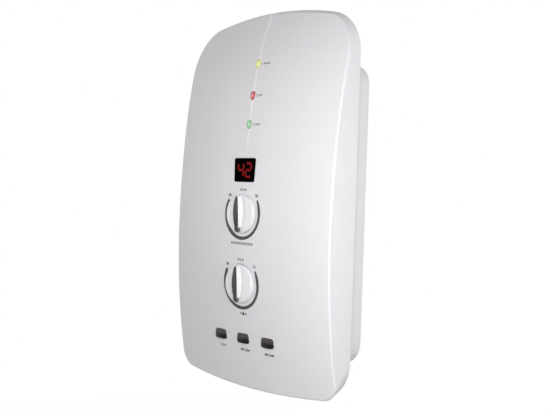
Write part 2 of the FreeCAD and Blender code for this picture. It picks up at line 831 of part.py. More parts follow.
def cable_grommet():
    """Rubber ring in the bottom wall, with a lip on both sides of it."""
    wall_up = (box_bottom, box_bottom + box_wall)
    lip_radius, lip_thick = grommet_lip
    rings = [
        rod_up(grommet_hole, 0, grommet_depth, wall_up),
        rod_up(lip_radius, 0, grommet_depth, (wall_up[0] - lip_thick, wall_up[0])),
        rod_up(lip_radius, 0, grommet_depth, (wall_up[1], wall_up[1] + lip_thick)),
    ]
    return join(rings).cut(rod_up(grommet_bore, 0, grommet_depth, (box_bottom - 10, box_bottom + 10)))


def connections():
    nodes = {"inlet_stub": water_stub(stub_x), "outlet_stub": water_stub(-stub_x)}
    nodes["stub_nuts"], nodes["stub_washers"] = stub_fixings()
    nodes["inlet_strainer"] = inlet_strainer()
    nodes["cable_grommet"] = cable_grommet()
    return nodes


def sensor_body(feed):
    """Flow sensor between the valve and the tank: a room for the turbine, with bearings at both ends."""
    outer = rod_across(sensor_radius, (sensor_start - 3, sensor_end + 3), water_depth, flow_z)
    neck = rod_across(7.0, (sensor_start, sensor_end), water_depth, flow_z)
    hollow = []
    for radius, half_length in (sensor_room, (turbine_axle[0] + running, 7)):
        across = (turbine_x - half_length, turbine_x + half_length)
        hollow.append(rod_across(radius, across, water_depth, flow_z))
    way_radius, way_off = sensor_way
    for turn in range(sensor_ways):
        angle = math.radians(45 + 90 * turn)
        depth = water_depth + way_off * math.cos(angle)
        z = flow_z + way_off * math.sin(angle)
        for side in (-1, 1):
            start = turbine_x + side * 4
            hollow.append(rod_across(way_radius, (start, start + side * 8), depth, z))
    whole = join([outer, neck])
    return whole, whole.cut(hollow).cut(bent(feed_pipe_radius, feed, feed_pipe_bend))


def flow_turbine():
    """Six-bladed wheel on an axle that runs along the flow."""
    parts = []
    for radius, half_length in (turbine_hub, turbine_axle):
        across = (turbine_x - half_length, turbine_x + half_length)
        parts.append(rod_across(radius, across, water_depth, flow_z))
    across = (turbine_x - blade_half_length, turbine_x + blade_half_length)
    for turn in range(turbine_blades):
        blade = block(across, (water_depth - 0.5, water_depth + 0.5), (flow_z, flow_z + blade_reach))
        blade.rotate(at(turbine_x, water_depth, flow_z), Vector(1, 0, 0), 360 / turbine_blades * turn)
        parts.append(blade)
    return join(parts)


def temperature_sensor():
    """Clip round the outlet pipe with a sensor bead in front."""
    clip_up = (-142, -132)
    x = -stub_x
    clip = rod_up(pipe_radius + 2.2, x, water_depth, clip_up)
    bead = block((x - 3, x + 3), (water_depth + 6, water_depth + 11), (clip_up[0] + 1, clip_up[1] - 1))
    pipe = rod_up(pipe_radius, x, water_depth, (clip_up[0] - 8, clip_up[1] + 12))
    return join([clip, bead]).cut(pipe)


def pipework():
    """Copper pipes, the flow sensor with its turbine, and the outlet temperature sensor."""
    stub_top = box_bottom + 5
    port_end = tank_bottom - port_length
    valve_socket = valve_half_length - 3
    inlet = [(stub_x, water_depth, stub_top), (stub_x, water_depth, flow_z)]
    inlet += [(valve_socket, water_depth, flow_z)]
    feed = [(sensor_end + 2, water_depth, flow_z), (feed_x, water_depth, flow_z)]
    feed += [(feed_x, water_depth, port_end)]
    outlet = [(stand_x, stand_depth, port_end), (stand_x, stand_depth, port_end - 24)]
    outlet += [(-stub_x, water_depth, -122), (-stub_x, water_depth, stub_top)]
    whole, sensor = sensor_body(feed)
    pickup_up = (flow_z + sensor_radius - 0.3, flow_z + 13)
    pickup = block((turbine_x - 6, turbine_x + 6), (water_depth - 5, water_depth + 5), pickup_up)
    return {
        "inlet_pipe": bent_pipe(pipe_radius, inlet, pipe_bend),
        "tank_feed_pipe": bent_pipe(feed_pipe_radius, feed, feed_pipe_bend),
        "outlet_pipe": bent_pipe(pipe_radius, outlet, pipe_bend),
        "flow_sensor_body": sensor,
        "flow_turbine": flow_turbine(),
        "flow_pickup": pickup.cut(whole),
        "temperature_sensor": temperature_sensor(),
    }


def lid_top():
    return tank_top + gasket_thick + lid_thick


def lid_screw_places():
    across, out = lid_screw_offset
    return [(tank_x + x, water_depth + depth) for x in (-across, across) for depth in (-out, out)]


def lid_layer(up):
    """A level layer with the lid's outline."""
    across = (tank_x - lid_half_width, tank_x + lid_half_width)
    return rounded_lid(across, (water_depth - lid_half_depth, water_depth + lid_half_depth), up)


def heating_elements():
    """Two bent heating rods, with the hexagonal terminals that seal them in the lid."""
    elements = []
    terminals = []
    bottom = tank_bottom + element_lift
    top = lid_top() + stud_length
    for left, right in element_legs:
        legs = (tank_x + left, tank_x + right)
        route = [(legs[0], element_depth, top), (legs[0], element_depth, bottom)]
        route += [(legs[1], element_depth, bottom), (legs[1], element_depth, top)]
        elements.append(bent(element_radius, route, (legs[1] - legs[0]) / 2 - 0.01))
        for x in legs:
            ends = ((x, element_depth, lid_top()), (x, element_depth, lid_top() + terminal_height))
            terminals.append(hexagon(terminal_across, *ends))
    return elements, [terminal.cut(elements) for terminal in terminals]


def tank_shell(threads):
    """Glass-filled nylon tank: its body, a flange at the top and two ports at the bottom."""
    base = tank_bottom
    inner = (tank_half_width - tank_wall, tank_radius - tank_wall)
    solids = [obround(tank_half_width, tank_radius, (base, tank_top))]
    solids.append(lid_layer((tank_top - tank_flange, tank_top)))
    hollows = [obround(*inner, (base + tank_wall, tank_top + 1))]
    for x, depth in ((stand_x, stand_depth), (feed_x, water_depth)):
        solids.append(rod_up(port_radius, x, depth, (base - port_length, base + 1)))
        hollows.append(rod_up(pipe_radius - 1.5, x, depth, (base - port_length - 1, base + 3)))
    side = tank_x + tank_half_width
    hollows.append(rod_across(relief_radius, (side - 3, side + 1), water_depth, relief_z))
    return join(solids).cut(hollows + threads)


def relief_valve():
    """Small valve screwed into the tank's side: spigot, hexagon and cap."""
    side = tank_x + tank_half_width
    return join([
        rod_across(relief_radius, (side - 2, side + 9), water_depth, relief_z),
        hexagon(11.0, (side + 0.01, water_depth, relief_z), (side + 5, water_depth, relief_z)),
        rod_across(6.5, (side + 8, side + 13), water_depth, relief_z),
    ])


def thermal_cutout():
    """Round cut-out on the front of the tank, with a fixing bar and two blade terminals."""
    back = water_depth + tank_radius
    blade_depth = (back + 4, back + 8)
    blade_across = (tank_x - 1.5, tank_x + 1.5)
    return join([
        rod_out(8.0, tank_x, cutout_z, (back, back + 5)),
        block((tank_x - 12, tank_x + 12), (back, back + 0.8), (cutout_z - 3, cutout_z + 3)),
        block(blade_across, blade_depth, (cutout_z + 5, cutout_z + 6)),
        block(blade_across, blade_depth, (cutout_z - 6, cutout_z - 5)),
    ])


def strap(z):
    """Metal band over the front of the tank, down both sides, with a foot each side."""
    up = (z - strap_width / 2, z + strap_width / 2)
    past = (up[0] - 1, up[1] + 1)
    outer = obround(tank_half_width + strap_thick, tank_radius + strap_thick, up)
    band = outer.cut(obround(tank_half_width, tank_radius, past))
    band = band.cut(block((tank_x - 40, tank_x + 40), (0, water_depth), past))
    foot_depth = (strap_foot, strap_foot + strap_thick)
    pieces = [band]
    for side in (-1, 1):
        near = tank_x + side * tank_half_width
        pieces.append(block(sorted((near, near + side * strap_thick)), (strap_foot, water_depth), up))
        pieces.append(block(sorted((near, near + side * strap_foot_length)), foot_depth, up))
    return join(pieces).cut([rod_out(1.9, x, z, (strap_foot - 1, strap_foot + 3)) for x in strap_screw_x])


def tank_screws():
    """Four lid screws and four strap screws."""
    screws = []
    for x, depth in lid_screw_places():
        screws.append(screw(3.4, 1.9, (x, depth, lid_top()), (x, depth, tank_top - 5)))
    for x, z in strap_screw_places():
        screws.append(screw(3.2, 1.6, (x, strap_foot + strap_thick, z), (x, box_wall + 0.6, z)))
    return group(screws)


def tank():
    """Heating tank with its lid, elements, straps and safety pieces."""
    threads = [rod_up(1.9, x, depth, (tank_top - 6, tank_top + 8)) for x, depth in lid_screw_places()]
    gasket_up = (tank_top, tank_top + gasket_thick)
    opening = obround(tank_half_width - tank_wall, tank_radius - tank_wall, (tank_top - 1, tank_top + 3))
    elements, terminals = heating_elements()
    stand = rod_up(stand_radius, stand_x, stand_depth, (tank_bottom + tank_wall, tank_top - 8))
    return {
        "heating_tank": tank_shell(threads),
        "tank_gasket": lid_layer(gasket_up).cut([opening] + threads),
        "tank_lid": lid_layer((gasket_up[1], lid_top())).cut(elements + threads),
        "tank_screws": tank_screws(),
        "heating_elements": group(elements),
        "element_terminals": group(terminals),
        "stand_pipe": stand.cut(rod_up(stand_bore, stand_x, stand_depth, (tank_bottom, tank_top))),
        "tank_straps": group([strap(z) for z in strap_heights]),
        "relief_valve": relief_valve(),
        "thermal_cutout": thermal_cutout(),
    }


def terminal_block():
    """Three-pole block with a screw hole above and below each wire's way."""
    left, right = module_x
    low, high = terminal_up
    body = block(module_x, (module_back, terminal_front), terminal_up)
    poles = []
    for pole in range(3):
        x = left + 10 + terminal_pitch * pole
        poles += [rod_out(3.0, x, z, (14, terminal_front + 1)) for z in (low + 4, high - 4)]
        poles.append(block((x - 3, x + 3), (8, 12), (low - 1, high + 1)))
    return body.cut(poles)


def leakage_breaker():
    """Breaker with a raised step that has the toggle's window in it."""
    left, right = module_x
    body = block(module_x, (module_back, breaker_front), breaker_up)
    body = body.makeFillet(2.0, edges_along(body, Vector(0, 1, 0)))
    step = block((left + 8, right - 8), (breaker_front - 1, breaker_front + 3), (-20, 28))
    window = block((left + 20, right - 20), (breaker_front + 2, breaker_front + 4), (-4, 12))
    return join([body, step]).cut(window)


def heat_sink():
    """Aluminium plate with upright fins on its upper part."""
    left, right = module_x
    parts = [block(module_x, (module_back, sink_front), sink_up)]
    for fin in range(fin_count):
        x = min(left + fin_pitch * fin, right - fin_thick)
        parts.append(block((x, x + fin_thick), (sink_front - 0.5, fin_front), (fin_up, sink_up[1])))
    return join(parts)


def power_switch():
    """Electronic power switch on the bare part of the heat sink."""
    low = sink_up[0]
    base = block((61, 91), (sink_front, sink_front + 9), (low + 4, low + 18))
    return join([base, block((66, 86), (sink_front + 8, sink_front + 11), (low + 7, low + 15))])


def internal_wires():
    """Wires between the modules, two to the elements, the elements' link, and the earth wire."""
    block_top = terminal_up[1]
    breaker_bottom, breaker_top = breaker_up
    runs = [rod_up(wire_radius, x, wire_depth, (block_top, breaker_bottom)) for x in (58, 76)]
    runs.append(rod_up(wire_radius, 86, wire_depth, (breaker_top, sink_up[0] + 4)))
    to_switch = [(54, wire_depth, breaker_top), (54, wire_depth, 67), (61, wire_depth, 67)]
    runs.append(bent(wire_radius, to_switch, 5.0))
    stud_top = lid_top() + stud_length
    for leg, start_z, depth, top in ((20.0, 65.0, wire_depth, 125.0), (-20.0, 70.0, 16.0, 131.0)):
        x = tank_x + leg
        route = [(61, depth, start_z), (42, depth, start_z), (42, depth, top), (x, depth, top)]
        route += [(x, element_depth, top), (x, element_depth, stud_top)]
        runs.append(bent(wire_radius, route, 4.0))
    link_depth = (element_depth - 2, element_depth + 2)
    runs.append(block((tank_x - 6, tank_x + 6), link_depth, (stud_top, stud_top + 0.8)))
    earth = [(module_x[0], wire_depth, -59), (20, wire_depth, -59), (-24, wire_depth, -40)]
    earth += [(-24, wire_depth, -14), (-33, wire_depth, -14)]
    runs.append(bent(wire_radius, earth, 5.0))
    return group(runs)


def power_side():
    """Terminal block, leakage breaker, power switch on its heat sink, and the wires that link them."""
    return {
        "terminal_block": terminal_block(),
        "leakage_breaker": leakage_breaker(),
        "heat_sink": heat_sink(),
        "power_switch": power_switch(),
        "internal_wires": internal_wires(),
    }


def indicator_depth(z):
    """Back of the tilted indicator board, which follows the slope of the face."""
    low, high = indicator_up
    low_depth, high_depth = (face_depth(0, end) - cover_wall - indicator_behind for end in indicator_up)
    return low_depth + (high_depth - low_depth) * (z - low) / (high - low)


def indicator_board():
    """Narrow board that leans back behind the three lenses."""
    low, high = indicator_up
    corners = [at(-indicator_half_width, indicator_depth(z), z) for z in (low, high)]
    corners += [at(-indicator_half_width, indicator_depth(z) + board_thick, z) for z in (high, low)]
    side = Part.Face(Part.makePolygon(corners + corners[:1]))
    return side.extrude(Vector(2 * indicator_half_width, 0, 0))


def control_components():
    """What is soldered to the control board: chips, a relay, capacitors and plugs."""
    front = control_back + board_thick
    return group([
        block((-30, -20), (front, front + 2), (2, 10)),
        block((-30, -19), (front, front + 3), (-8, -3)),
        block((20, 31), (front, front + 2.2), (-4, 8)),
        block((22, 30), (front, front + 6), (12, 17)),
        block((18, 26), (front, front + 5), (-30, -22)),
        rod_out(3.0, 25, -14, (front, front + 7)),
        rod_out(2.5, -25, 20, (front, front + 6)),
        rod_out(4.0, -23, 34, (front, front + 7)),
    ])


def indicator_lights(board):
    """A round light behind each lens."""
    lights = []
    for z in led_heights.values():
        back = indicator_depth(z) + board_thick - 1.0
        lens_back = face_depth(0, z) - cover_wall - lens_tail
        lights.append(rod_out(2.4, 0, z, (back, lens_back - 0.2)).cut(board))
    return group(lights)


def button_switches(front):
    """Small square switches with round plungers, one behind each button."""
    switches = []
    case_front = front + switch_height - 0.7
    for name, x in button_places():
        switches.append(block((x - 3, x + 3), (front, case_front), (button_z - 3, button_z + 3)))
        switches.append(rod_out(1.7, x, button_z, (case_front, front + switch_height)))
    return group(switches)


def board_screws():
    screws = []
    for back, posts in ((control_back, control_posts), (button_board_back, button_posts)):
        front = back + board_thick
        end = front - board_screw_length
        screws += [screw(3.0, board_screw_radius, (x, front, z), (x, end, z)) for x, z in posts]
    for x, z in indicator_screws:
        back = indicator_depth(z) - 0.4
        screws.append(screw(2.4, indicator_screw_radius, (x, back, z), (x, back + 5, z)))
    return screws


def boards():
    """Control, indicator and button boards with what is soldered to them."""
    control_depth = (control_back, control_back + board_thick)
    control = block((-control_half_width, control_half_width), control_depth, (control_bottom, control_top))
    button_front = button_board_back + board_thick
    half_width, half_height = button_board_half
    button_up = (button_z - half_height, button_z + half_height)
    buttons = block((-half_width, half_width), (button_board_back, button_front), button_up)
    indicator = indicator_board()
    screws = board_screws()
    return {
        "control_board": control.cut(screws),
        "control_components": control_components(),
        "indicator_board": indicator.cut(screws),
        "indicator_lights": indicator_lights(indicator),
        "button_board": buttons.cut(screws),
        "button_switches": button_switches(button_front),
        "board_screws": group(screws),
    }


def main():
    os.makedirs("parts", exist_ok=True)
    nodes = {}
    for section in (casing, controls, flow_valve, connections, pipework, tank, power_side, boards):
        nodes.update(section())
    for name, shape in nodes.items():
        shape.exportStep("parts/" + name + ".step")
    print(len(nodes), "pieces written")
    return nodes


nodes = main()
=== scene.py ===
import json
import math
import bmesh
import bpy
from mathutils import Matrix, Vector
from mathutils.bvhtree import BVHTree


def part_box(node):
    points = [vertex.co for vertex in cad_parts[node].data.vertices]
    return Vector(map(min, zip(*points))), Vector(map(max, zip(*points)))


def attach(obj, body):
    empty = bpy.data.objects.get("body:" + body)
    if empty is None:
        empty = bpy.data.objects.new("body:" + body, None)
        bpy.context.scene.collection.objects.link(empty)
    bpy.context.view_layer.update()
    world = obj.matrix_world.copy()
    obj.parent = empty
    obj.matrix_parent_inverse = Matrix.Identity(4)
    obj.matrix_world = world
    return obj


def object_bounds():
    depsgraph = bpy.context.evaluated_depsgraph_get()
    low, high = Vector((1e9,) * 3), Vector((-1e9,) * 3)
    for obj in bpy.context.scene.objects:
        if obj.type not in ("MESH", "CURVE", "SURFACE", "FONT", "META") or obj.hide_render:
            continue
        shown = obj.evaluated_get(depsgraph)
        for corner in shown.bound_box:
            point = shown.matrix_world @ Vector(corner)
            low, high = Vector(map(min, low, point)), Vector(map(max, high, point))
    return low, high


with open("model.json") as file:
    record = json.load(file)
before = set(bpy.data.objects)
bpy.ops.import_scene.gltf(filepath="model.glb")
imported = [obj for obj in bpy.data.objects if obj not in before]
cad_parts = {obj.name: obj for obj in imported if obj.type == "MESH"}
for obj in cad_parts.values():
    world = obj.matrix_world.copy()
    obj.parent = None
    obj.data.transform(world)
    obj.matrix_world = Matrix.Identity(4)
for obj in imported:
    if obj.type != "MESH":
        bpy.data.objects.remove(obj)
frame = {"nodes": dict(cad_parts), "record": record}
cadLow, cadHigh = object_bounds()
nodes = frame["nodes"]
slotOf = {row["node"]: row["material_slot"] for row in frame["record"]["subparts"]}
millimetre = 0.001
print("frame loaded:", len(nodes), "nodes")


# Camera: stands to the right of the heater, almost level with its middle
camera = {
    "place": (0.69355, -0.68164, 0.0186),
    "azimuth": 46.28,
    "pitch": 1.46,
    "roll": -1.82,
    "lens": 58.54,
    "sensor": 36.0,
}


def placeCamera():
    turn, pitch, roll = (math.radians(camera[key]) for key in ("azimuth", "pitch", "roll"))
    forward = Vector((-math.sin(turn) * math.cos(pitch), math.cos(turn) * math.cos(pitch), -math.sin(pitch)))
    level = Vector((math.cos(turn), math.sin(turn), 0.0))
    upright = level.cross(forward)
    right = math.cos(roll) * level - math.sin(roll) * upright
    up = math.sin(roll) * level + math.cos(roll) * upright
    data = bpy.data.cameras.new("camera")
    data.lens = camera["lens"]
    data.sensor_width = camera["sensor"]
    data.clip_start = 0.01
    seen = bpy.data.objects.new("camera", data)
    facing = Matrix((right, up, -forward)).transposed().to_4x4()
    seen.matrix_world = Matrix.Translation(camera["place"]) @ facing
    bpy.context.scene.collection.objects.link(seen)
    bpy.context.scene.camera = seen


placeCamera()
print("camera placed")


class Wire:  # a shader socket that takes part in plain sums
    def __init__(self, finish, socket):
        self.finish = finish
        self.socket = socket

    def maths(self, operation, *values):
        return self.finish.node("Math", {"operation": operation}, dict(enumerate(values)))

    def __add__(self, other):
        return self.maths("ADD", self, other)

    def __radd__(self, other):
        return self.maths("ADD", other, self)

    def __mul__(self, other):
        return self.maths("MULTIPLY", self, other)

    def __rmul__(self, other):
        return self.maths("MULTIPLY", other, self)


class Finish:  # one material, built node by node
    def __init__(self, owner):
        owner.use_nodes = True
        self.owner = owner
        self.tree = owner.node_tree
        self.tree.nodes.clear()

    def node(self, kind, settings, sockets, output=0):
        made = self.tree.nodes.new("ShaderNode" + kind)
        for key, value in settings.items():
            setattr(made, key, value)
        for key, value in sockets.items():
            if isinstance(value, Wire):
                self.tree.links.new(value.socket, made.inputs[key])
            else:
                made.inputs[key].default_value = value
        return Wire(self, made.outputs[output]) if made.outputs else made

    def where(self):  # the place on the piece, in metres
        return self.node("TexCoord", {}, {}, "Object")

    def stretched(self, factors):
        return self.node("Mapping", {}, {"Vector": self.where(), "Scale": factors})

    def noise(self, place, scale, detail=2.0, roughness=0.5):
        sockets = {"Vector": place, "Scale": scale, "Detail": detail, "Roughness": roughness}
        return self.node("TexNoise", {}, sockets)

    def along(self, axis, start, end):  # a shade that grows along one axis of the piece
        place = self.node("SeparateXYZ", {}, {"Vector": self.where()}, axis)
        return self.ramp(place, start, end)

    def ramp(self, value, start, end, low=0.0, high=1.0):
        sockets = {"Value": value, "From Min": start, "From Max": end, "To Min": low, "To Max": high}
        return self.node("MapRange", {}, sockets)

    def tint(self, factor, first, second):  # colours blend here, never in sums
        ends = [tone if isinstance(tone, Wire) else (*tone, 1.0) for tone in (first, second)]
        return self.node("Mix", {"data_type": "RGBA"}, {0: factor, 6: ends[0], 7: ends[1]}, 2)

    def bump(self, height, strength, depth):
        return self.node("Bump", {}, {"Height": height, "Strength": strength, "Distance": depth})

    def shell(self, sockets):  # the Principled surface
        return self.node("BsdfPrincipled", {}, sockets)

    def done(self, surface):
        self.node("OutputMaterial", {}, {"Surface": surface})
        return self.owner


def shadeMask(finish, shade):
    # the mask of a painted shade: one where each named axis is past its second limit, and nought before its
    # first
    mask = 1.0
    for axis, (start, end) in shade["between"].items():
        mask = finish.along(axis, start, end) * mask
    return mask


def mouldedPlastic(name, look):
    # moulded plastic: fine orange peel, a slow drift in its tint, and handling marks in its gloss
    finish = Finish(bpy.data.materials.new(name))
    place = finish.where()
    drift = finish.noise(place, look["driftScale"], 3.0)
    peel = finish.noise(place, look["peelScale"], 2.0)
    grain = finish.noise(place, look["grainScale"], 4.0, 0.65)
    smudge = finish.ramp(finish.noise(place, look["smudgeScale"], 4.0), *look["smudgeEdges"])
    colour = finish.tint(finish.ramp(drift, *look["driftEdges"]), look["colour"], look["second"])
    # a painted shade: a darker colour laid over the plastic where the mask is one, in place of shadow
    if "shade" in look:
        colour = finish.tint(shadeMask(finish, look["shade"]), colour, look["shade"]["colour"])
    rough = smudge * look["smudge"] + look["rough"]
    height = peel * look["peel"] + grain * look["grain"]
    return finish.done(finish.shell({
        "Base Color": colour,
        "Roughness": rough,
        "IOR": look.get("ior", 1.5),
        "Coat Weight": look.get("coat", 0.0),
        "Coat Roughness": look["coatRough"],
        "Specular IOR Level": look.get("specular", 0.5),
        "Normal": finish.bump(height, look["bump"], look["depth"]),
    }))


moulded = {
    "driftScale": 9.0,
    "driftEdges": (0.3, 0.7),
    "peelScale": 420.0,
    "grainScale": 1800.0,
    "smudgeScale": 26.0,
    "smudgeEdges": (0.35, 0.7),
    "smudge": 0.06,
    "peel": 0.7,
    "grain": 0.3,
    "bump": 0.12,
    "depth": 0.0002,
    "coatRough": 0.06,
}
coverLook = {**moulded, "colour": (0.795, 0.78, 0.80), "second": (0.805, 0.795, 0.81), "rough": 0.38}
housingLook = {**moulded, "colour": (0.79, 0.785, 0.79), "second": (0.80, 0.795, 0.80),
               "rough": 0.48, "bump": 0.2}
accentLook = {**moulded, "colour": (0.865, 0.855, 0.87), "second": (0.88, 0.87, 0.885),
              "rough": 0.4, "bump": 0.06}
knobLook = {**moulded, "colour": (0.82, 0.81, 0.825), "second": (0.84, 0.835, 0.845),
            "rough": 0.2, "bump": 0.05, "driftScale": 40.0, "smudgeScale": 90.0, "coat": 0.15}
inlayLook = {**moulded, "colour": (0.045, 0.04, 0.043), "second": (0.065, 0.058, 0.062),
             "rough": 0.36, "bump": 0.08, "driftScale": 60.0, "smudgeScale": 120.0, "specular": 0.2}
# buttons: darker towards the bottom, a near black painted shade over their lowest few millimetres, laid in
# place of the shadow gap under each button
buttonLook = {**moulded, "colour": (0.055, 0.048, 0.052), "second": (0.075, 0.066, 0.07),
              "rough": 0.3, "bump": 0.08, "driftScale": 60.0, "smudgeScale": 120.0, "specular": 0.14,
              "shade": {"colour": (0.004, 0.003, 0.003), "between": {"Z": (-0.1445, -0.1482)}}}
windowLook = {**moulded, "colour": (0.0015, 0.001, 0.001), "second": (0.003, 0.0015, 0.0015), "rough": 0.1,
              "bump": 0.02, "smudge": 0.05, "specular": 0.02, "ior": 1.02}
moduleLook = {**moulded, "colour": (0.025, 0.025, 0.028), "second": (0.035, 0.035, 0.038),
              "rough": 0.5, "bump": 0.3}
moduleGreyLook = {**moduleLook, "colour": (0.36, 0.36, 0.37), "second": (0.4, 0.4, 0.41)}
strainerLook = {**moulded, "colour": (0.7, 0.7, 0.68), "second": (0.75, 0.75, 0.72), "rough": 0.4}
ceramicLook = {**moulded, "colour": (0.75, 0.74, 0.7), "second": (0.8, 0.79, 0.76),
               "rough": 0.15, "bump": 0.04}
tankLook = {**moulded, "colour": (0.03, 0.03, 0.032), "second": (0.05, 0.05, 0.052),
            "rough": 0.45, "bump": 0.35}
rubberLook = {**moulded, "colour": (0.016, 0.016, 0.017), "second": (0.03, 0.03, 0.031),
              "rough": 0.62, "bump": 0.4}
wireLook = {**moulded, "colour": (0.12, 0.05, 0.025), "second": (0.15, 0.065, 0.03), "rough": 0.4}
inkLook = {**moulded, "colour": (0.06, 0.056, 0.06), "second": (0.085, 0.08, 0.085),
           "rough": 0.5, "bump": 0.1, "driftScale": 200.0, "specular": 0.25}
greyInkLook = {**inkLook, "colour": (0.17, 0.165, 0.175), "second": (0.21, 0.2, 0.21)}


def workedMetal(name, look):
    # metal with fine tool lines along one axis, and a tarnish that drifts over it
    finish = Finish(bpy.data.materials.new(name))
    lines = finish.noise(finish.stretched(look["lines"]), 1.0, 4.0, 0.7)
    tarnish = finish.ramp(finish.noise(finish.where(), look["tarnishScale"], 5.0, 0.6), *look["tarnishEdges"])
    return finish.done(finish.shell({
        "Base Color": finish.tint(tarnish, look["colour"], look["tarnished"]),
        "Metallic": 1.0,
        "Roughness": tarnish * look["tarnishRough"] + lines * look["lineRough"] + look["rough"],
        "Normal": finish.bump(lines, look["bump"], look["depth"]),
    }))


metal = {
    "lines": (300.0, 300.0, 6000.0),
    "lineRough": 0.12,
    "tarnishScale": 60.0,
    "tarnishEdges": (0.35, 0.7),
    "tarnishRough": 0.14,
    "rough": 0.16,
    "bump": 0.3,
    "depth": 0.00005,
}
brassLook = {**metal, "colour": (0.78, 0.56, 0.24), "tarnished": (0.6, 0.4, 0.17)}
copperLook = {**metal, "colour": (0.82, 0.42, 0.26), "tarnished": (0.55, 0.26, 0.16), "rough": 0.2}
screwLook = {**metal, "colour": (0.62, 0.62, 0.64), "tarnished": (0.5, 0.5, 0.51), "rough": 0.22}
elementLook = {**metal, "colour": (0.45, 0.44, 0.43), "tarnished": (0.3, 0.28, 0.26), "rough": 0.3}
aluminiumLook = {**metal, "colour": (0.75, 0.75, 0.77), "tarnished": (0.66, 0.66, 0.68),
                 "lines": (300.0, 6000.0, 300.0)}

lens = {
    "yellow": ((0.66, 0.7, 0.1), (0.8, 0.84, 0.4)),
    "red": ((0.45, 0.03, 0.05), (0.68, 0.13, 0.17)),
    "green": ((0.16, 0.46, 0.2), (0.4, 0.7, 0.44)),
    "glow": 0.08,
    "reach": 0.004,
    "flatten": (1.0, 0.0, 0.7),
    "ribScale": 700.0,
    "ribRough": 0.1,
    "rough": 0.12,
    "coat": 0.5,
    "bump": 0.1,
    "depth": 0.0001,
}


def lensPlastic(colour):
    # a clear coloured dome, brightest where the light behind it shows through
    finish = Finish(bpy.data.materials.new("lens_" + colour))
    deep, bright = lens[colour]
    low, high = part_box("led_lens_" + colour)
    middle = (low + high) / 2
    offset = finish.node("VectorMath", {"operation": "SUBTRACT"}, {0: finish.where(), 1: middle})
    flat = finish.node("VectorMath", {"operation": "MULTIPLY"}, {0: offset, 1: lens["flatten"]})
    distance = finish.node("VectorMath", {"operation": "LENGTH"}, {0: flat}, "Value")
    core = finish.ramp(distance, 0.0, lens["reach"], 1.0, 0.0)
    ribs = finish.noise(finish.where(), lens["ribScale"], 2.0)
    colours = finish.tint(core, deep, bright)
    return finish.done(finish.shell({
        "Base Color": colours,
        "Roughness": ribs * lens["ribRough"] + lens["rough"],
        "Emission Color": colours,
        "Emission Strength": lens["glow"],
        "Coat Weight": lens["coat"],
        "Normal": finish.bump(ribs, lens["bump"], lens["depth"]),
    }))


board = {
    "mask": (0.012, 0.11, 0.04),
    "copper": (0.03, 0.2, 0.07),
    "pitch": 260.0,
    "wander": 1.5,
    "etchEdges": (0.55, 0.65),
    "etchRough": 0.1,
    "rough": 0.3,
    "bump": 0.3,
    "depth": 0.00005,
}


def boardMask(name):
    # green solder mask over copper tracks that run up and across
    finish = Finish(bpy.data.materials.new(name))
    place = finish.where()
    sockets = {"Vector": place, "Scale": board["pitch"], "Distortion": board["wander"]}
    tracks = finish.node("TexWave", {"bands_direction": "Z"}, sockets)
    etched = finish.ramp(tracks, *board["etchEdges"])
    return finish.done(finish.shell({
        "Base Color": finish.tint(etched, board["mask"], board["copper"]),
        "Roughness": etched * board["etchRough"] + board["rough"],
        "Normal": finish.bump(etched, board["bump"], board["depth"]),
    }))


finishes = {
    "cover_white": mouldedPlastic("cover_plastic", coverLook),
    "housing_white": mouldedPlastic("housing_plastic", housingLook),
    "accent_pearl": mouldedPlastic("accent_plastic", accentLook),
    "window_black": mouldedPlastic("window_acrylic", windowLook),
    "lens_yellow": lensPlastic("yellow"),
    "lens_red": lensPlastic("red"),
    "lens_green": lensPlastic("green"),
    "knob_white": mouldedPlastic("knob_plastic", knobLook),
    "inlay_dark": mouldedPlastic("inlay_plastic", inlayLook),
    "button_dark": mouldedPlastic("button_plastic", buttonLook),
    "rubber_black": mouldedPlastic("seal_rubber", rubberLook),
    "screw_steel": workedMetal("plated_steel", screwLook),
    "element_steel": workedMetal("element_steel", elementLook),
    "brass": workedMetal("turned_brass", brassLook),
    "copper": workedMetal("drawn_copper", copperLook),
    "ceramic_white": mouldedPlastic("ground_ceramic", ceramicLook),
    "strainer_white": mouldedPlastic("strainer_plastic", strainerLook),
    "tank_nylon": mouldedPlastic("tank_nylon", tankLook),
    "module_black": mouldedPlastic("module_plastic", moduleLook),
    "module_grey": mouldedPlastic("breaker_plastic", moduleGreyLook),
    "board_green": boardMask("board_mask"),
    "wire_brown": mouldedPlastic("wire_jacket", wireLook),
    "aluminium": workedMetal("extruded_aluminium", aluminiumLook),
}
for name, piece in nodes.items():
    for held in piece.material_slots:
        held.material = finishes[slotOf[name]]
print("finishes made:", len(finishes))


# Knobs: painted shade at the foot of the grip, where it runs out on the disc: a dark colour laid there in
# place of its shadow
knobFootShade = {"colour": (0.12, 0.11, 0.12), "down": (13.2, 15.2), "out": (4.7, 4.2)}


def knobFinish(node):
    # the knob plastic, with a painted shade on the lower end of the grip, where it stands out from the disc
    low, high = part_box(node)
    middle = (low.z + high.z) / 2
    between = {
        "Z": [middle - step * millimetre for step in knobFootShade["down"]],
        "Y": [low.y + step * millimetre for step in knobFootShade["out"]],
    }
    look = {**knobLook, "shade": {"colour": knobFootShade["colour"], "between": between}}
    nodes[node].material_slots[0].material = mouldedPlastic(node + "_plastic", look)


for node in ("temperature_knob", "flow_knob"):
    knobFinish(node)


# Marks printed on the cover, in millimetres across and up, laid on its face
ink = {"lift": 0.05, "thick": 0.09, "reach": 0.2, "bold": 0.028}
darkInk = mouldedPlastic("dark_ink", inkLook)
greyInk = mouldedPlastic("grey_ink", greyInkLook)
face = BVHTree.FromObject(nodes["front_cover"], bpy.context.evaluated_depsgraph_get())


def faceAt(x, z, lift):
    # the point on the cover's face at a place across and up, raised by a lift, all in millimetres
    start = Vector((x * millimetre, -ink["reach"], z * millimetre))
    point = face.ray_cast(start, Vector((0.0, 1.0, 0.0)))[0]
    return point - Vector((0.0, lift * millimetre, 0.0))


